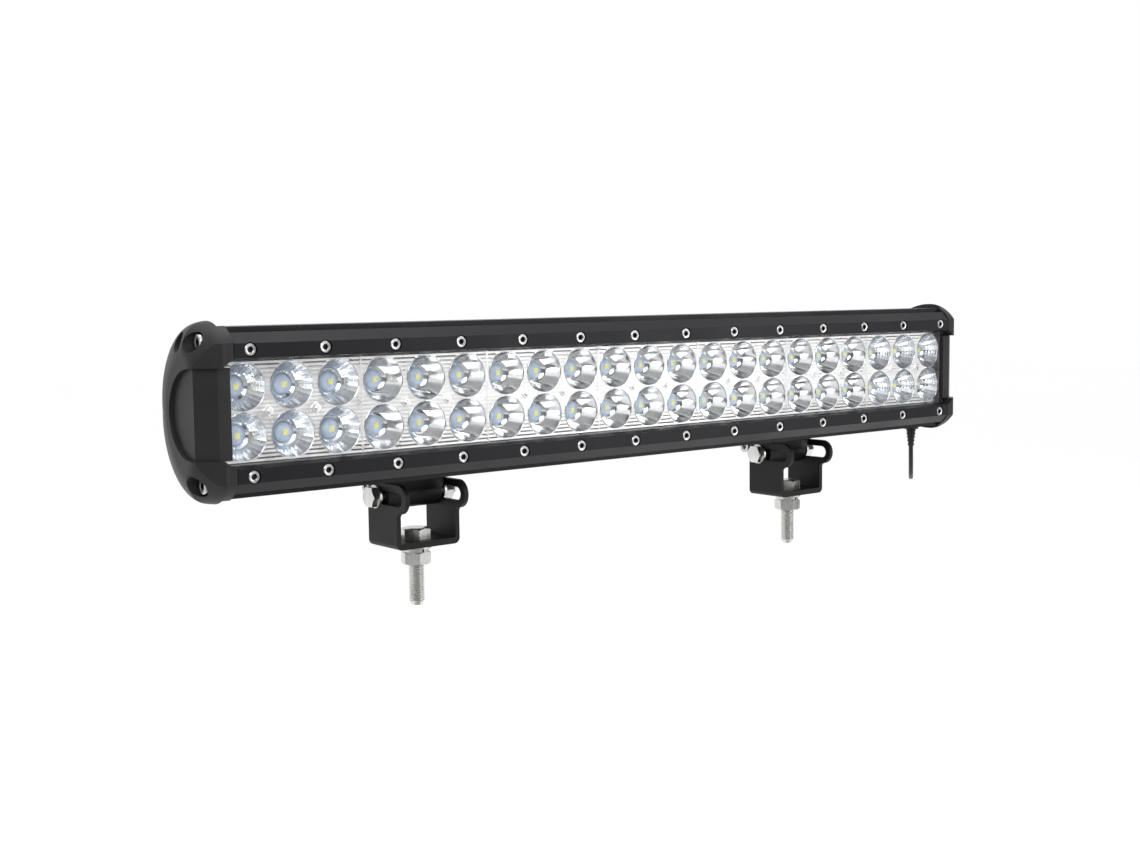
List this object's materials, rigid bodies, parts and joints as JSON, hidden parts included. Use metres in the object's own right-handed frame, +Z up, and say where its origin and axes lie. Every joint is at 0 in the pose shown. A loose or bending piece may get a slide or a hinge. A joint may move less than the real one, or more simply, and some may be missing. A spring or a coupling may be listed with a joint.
{
  "type": "led light bar",
  "caption": "Double-row LED light bar in a finned extruded housing with cast end caps, on two tilting U-brackets with threaded studs and a sealed two-way power lead.",
  "frame": {"origin": "midway between the two mounting studs, level with the underside of their nuts", "axes": "+X along the bar to its right-hand end as seen from the lit side, -Y towards the lit side, +Z up"},
  "size_m": [0.5328, 0.0657, 0.1405],
  "materials": {
    "black_coated_aluminium": "satin black powder coat on aluminium",
    "black_powder_coat": "satin black powder coat",
    "steel_fastener": "zinc plated or stainless steel",
    "clear_lens": "clear polycarbonate",
    "black_rubber": "matt black rubber or soft PVC",
    "bright_reflector": "vacuum metallised",
    "circuit_board": "white solder mask",
    "white_ceramic": "white ceramic",
    "diode_silicone": "clear silicone over a yellow phosphor",
    "thermal_pad": "grey gap pad",
    "dark_plastic": "black nylon",
    "bare_aluminium": "bare can",
    "brass": "brass"
  },
  "bodies": {
    "brackets": {"bracket_left": "black_powder_coat", "bracket_right": "black_powder_coat", "mounting_bolts": "steel_fastener", "flat_washers": "steel_fastener", "spring_washers": "steel_fastener", "mounting_nuts": "steel_fastener"},
    "pivots": {"pivot_bolt_left": "steel_fastener", "pivot_bolt_right": "steel_fastener", "pivot_washers": "steel_fastener", "pivot_nuts": "steel_fastener"},
    "feet": {"foot_left": "black_coated_aluminium", "foot_right": "black_coated_aluminium", "foot_lock_screw_left": "steel_fastener", "foot_lock_screw_right": "steel_fastener"},
    "light": {"housing": "black_coated_aluminium", "bezel_rail_top": "black_coated_aluminium", "bezel_rail_bottom": "black_coated_aluminium", "end_cap_left": "black_coated_aluminium", "end_cap_right": "black_coated_aluminium", "bezel_screws_top": "steel_fastener", "bezel_screws_bottom": "steel_fastener", "end_cap_screws_left": "steel_fastener", "end_cap_screws_right": "steel_fastener", "lens": "clear_lens", "lens_gasket": "black_rubber", "end_gasket_left": "black_rubber", "end_gasket_right": "black_rubber", "strain_relief": "black_rubber", "power_cord": "black_rubber", "power_cord_coil": "black_rubber", "power_cord_tail": "black_rubber", "reflector_1_flood": "bright_reflector", "led_board_1": "circuit_board", "reflector_2_spot": "bright_reflector", "led_board_2": "circuit_board", "reflector_3_spot": "bright_reflector", "led_board_3": "circuit_board", "reflector_4_spot": "bright_reflector", "led_board_4": "circuit_board", "reflector_5_spot": "bright_reflector", "led_board_5": "circuit_board", "reflector_6_spot": "bright_reflector", "led_board_6": "circuit_board", "reflector_7_flood": "bright_reflector", "led_board_7": "circuit_board", "led_packages": "white_ceramic", "led_domes": "diode_silicone", "thermal_pad": "thermal_pad", "driver_board": "circuit_board", "driver_standoffs": "brass", "driver_inductors": "dark_plastic", "driver_capacitors": "bare_aluminium", "driver_chips": "dark_plastic", "cable_gland": "dark_plastic", "cord_tie": "dark_plastic", "plug_body": "dark_plastic", "plug_pins": "brass"}
  },
  "joints": [
    {"name": "reach", "type": "slide", "parent": "brackets", "child": "pivots", "axis": [0, 1, 0], "range_m": [-0.0185, 0]},
    {"name": "tilt", "type": "hinge", "parent": "pivots", "child": "feet", "pos_m": [0, 0.0059, 0.0341], "axis": [1, 0, 0], "range_deg": [-42, 8]},
    {"name": "side_slide", "type": "slide", "parent": "feet", "child": "light", "axis": [1, 0, 0], "range_m": [-0.08, 0.08]}
  ]
}
